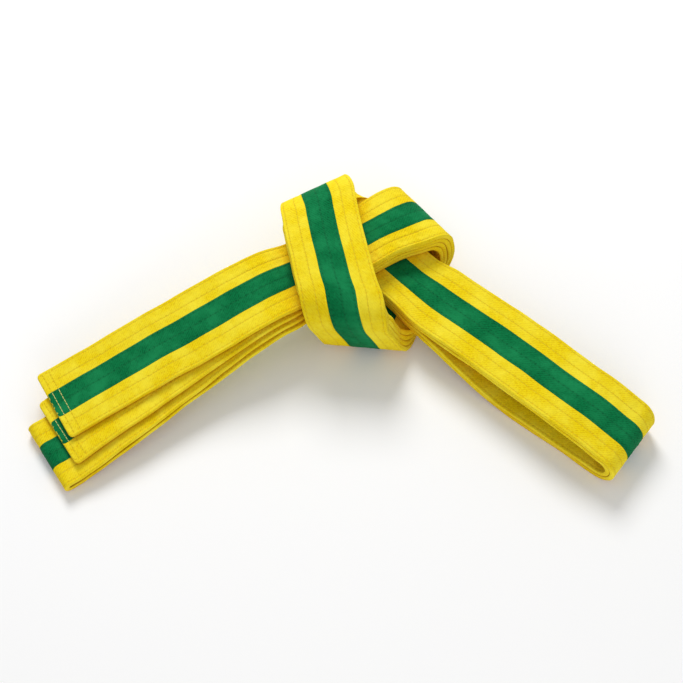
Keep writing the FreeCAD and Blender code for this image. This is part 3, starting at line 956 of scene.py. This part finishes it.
# The last colour given to each cloth is painted shade, for its needle holes and crevices.
YELLOW = cloth_material("yellow_twill", (0.90, 0.77, 0.045, 1), (0.83, 0.645, 0.006, 1),
                        (0.66, 0.40, 0.001, 1), (0.66, 0.32, 0.0, 1), True)
GREEN = cloth_material("green_twill_tape", (0.012, 0.25, 0.085, 1), (0.002, 0.16, 0.048, 1),
                       (0.001, 0.065, 0.020, 1), (0.001, 0.045, 0.016, 1), False)
YELLOW_THREAD = thread_material("yellow_thread", (0.78, 0.64, 0.04, 1), (0.60, 0.43, 0.012, 1))
GREEN_THREAD = thread_material("green_thread", (0.008, 0.19, 0.06, 1), (0.003, 0.11, 0.035, 1))
END_THREAD = thread_material("end_row_thread", (0.85, 0.85, 0.36, 1), (0.66, 0.64, 0.16, 1),
                             (0.80, 0.62, 0.02, 1))
WADDING = padding_material()


# ------------------------------------------------------------------ pieces

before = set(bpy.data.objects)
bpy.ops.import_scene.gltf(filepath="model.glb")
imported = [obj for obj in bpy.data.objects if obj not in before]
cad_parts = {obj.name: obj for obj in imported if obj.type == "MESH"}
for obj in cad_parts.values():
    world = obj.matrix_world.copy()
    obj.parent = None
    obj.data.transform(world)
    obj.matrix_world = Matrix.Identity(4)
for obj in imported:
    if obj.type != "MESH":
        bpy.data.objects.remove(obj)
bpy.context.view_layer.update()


def finish_piece(piece, node, material):
    piece.data.materials.append(material)
    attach(piece, "root")
    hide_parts(node)
    return piece


def add_covers():
    covers = []
    begin = 0.0
    for name, last in STRETCH_ENDS:
        node = "cover_" + name
        piece = make_cover(node + "_cloth", begin, LENGTHS[last])
        finish_piece(piece, node, YELLOW)
        covers.append(piece)
        begin = LENGTHS[last]
    return covers


def add_tapes():
    for node, side in (("stripe_front", 1), ("stripe_back", -1)):
        piece = finish_piece(make_tape(node + "_tape", side), node, GREEN)


def add_threads():
    for number in range(len(ROWS)):
        on_tape = abs(ROWS[number]) < TAPE_HALF
        material = GREEN_THREAD if on_tape else YELLOW_THREAD
        for word, side in (("needle", 1), ("bobbin", -1)):
            node = "%s_thread_%d" % (word, number + 1)
            finish_piece(make_thread(node + "_stitches", number, side), node, material)


def add_end_rows():
    for tail, from_end in (("upper", False), ("lower", True)):
        for number, distance in enumerate(END_ROWS, start=1):
            at = BELT_LENGTH - distance if from_end else distance
            for word, side in (("needle", 1), ("bobbin", -1)):
                node = "%s_tail_row_%d_%s" % (tail, number, word)
                piece = make_end_row(node + "_stitches", at, side)
                finish_piece(piece, node, END_THREAD)


def add_padding():
    piece = finish_piece(make_padding("padding_wadding"), "padding", WADDING)


# ------------------------------------------------------------------- stage

def add_floor():
    nodes = Nodes("pale_floor")
    nodes.shader.inputs["Base Color"].default_value = (0.93, 0.93, 0.93, 1)
    nodes.shader.inputs["Roughness"].default_value = 0.9
    bpy.ops.mesh.primitive_plane_add(size=8, location=(0, 0, 0))
    floor = bpy.context.object
    floor.name = "floor"
    floor.data.materials.append(nodes.material)


def add_lamp(name, place_m, target_m, size_m, power):
    """A round soft lamp that shines at a target."""
    lamp = bpy.data.lights.new(name, "AREA")
    lamp.shape = "DISK"
    lamp.size = size_m
    lamp.energy = power
    holder = bpy.data.objects.new(name, lamp)
    holder.location = place_m
    aim = Vector(target_m) - Vector(place_m)
    holder.rotation_euler = aim.to_track_quat("-Z", "Y").to_euler()
    bpy.context.scene.collection.objects.link(holder)


WORLD_LIGHT = 0.52


def add_world():
    world = bpy.data.worlds.new("studio")
    world.use_nodes = True
    background = world.node_tree.nodes["Background"]
    background.inputs["Color"].default_value = (1, 1, 1, 1)
    background.inputs["Strength"].default_value = WORLD_LIGHT
    bpy.context.scene.world = world


CAMERA_TARGET = (0.00023, 0.00012, 0.0)
CAMERA_DISTANCE = 0.75
CAMERA_ELEVATION = math.radians(63)
CAMERA_SENSOR = 36
CAMERA_LENS = 74.2


def add_camera():
    camera = bpy.data.cameras.new("camera")
    camera.sensor_width = CAMERA_SENSOR
    camera.lens = CAMERA_LENS
    camera.clip_start = 0.01
    holder = bpy.data.objects.new("camera", camera)
    holder.location = (
        CAMERA_TARGET[0],
        CAMERA_TARGET[1] - CAMERA_DISTANCE * math.cos(CAMERA_ELEVATION),
        CAMERA_TARGET[2] + CAMERA_DISTANCE * math.sin(CAMERA_ELEVATION),
    )
    holder.rotation_euler = (math.pi / 2 - CAMERA_ELEVATION, 0, 0)
    bpy.context.scene.collection.objects.link(holder)
    bpy.context.scene.camera = holder


covers = add_covers()
add_tapes()
add_threads()
add_end_rows()
add_padding()
add_floor()
add_world()
add_lamp("key", (-0.2, 0.95, 0.95), (0, 0.02, 0.02), 0.6, 13.5)
add_lamp("fill", (0.25, -1.0, 0.4), (0, 0, 0.02), 0.8, 3)
add_camera()
bpy.context.scene.view_settings.view_transform = "Standard"
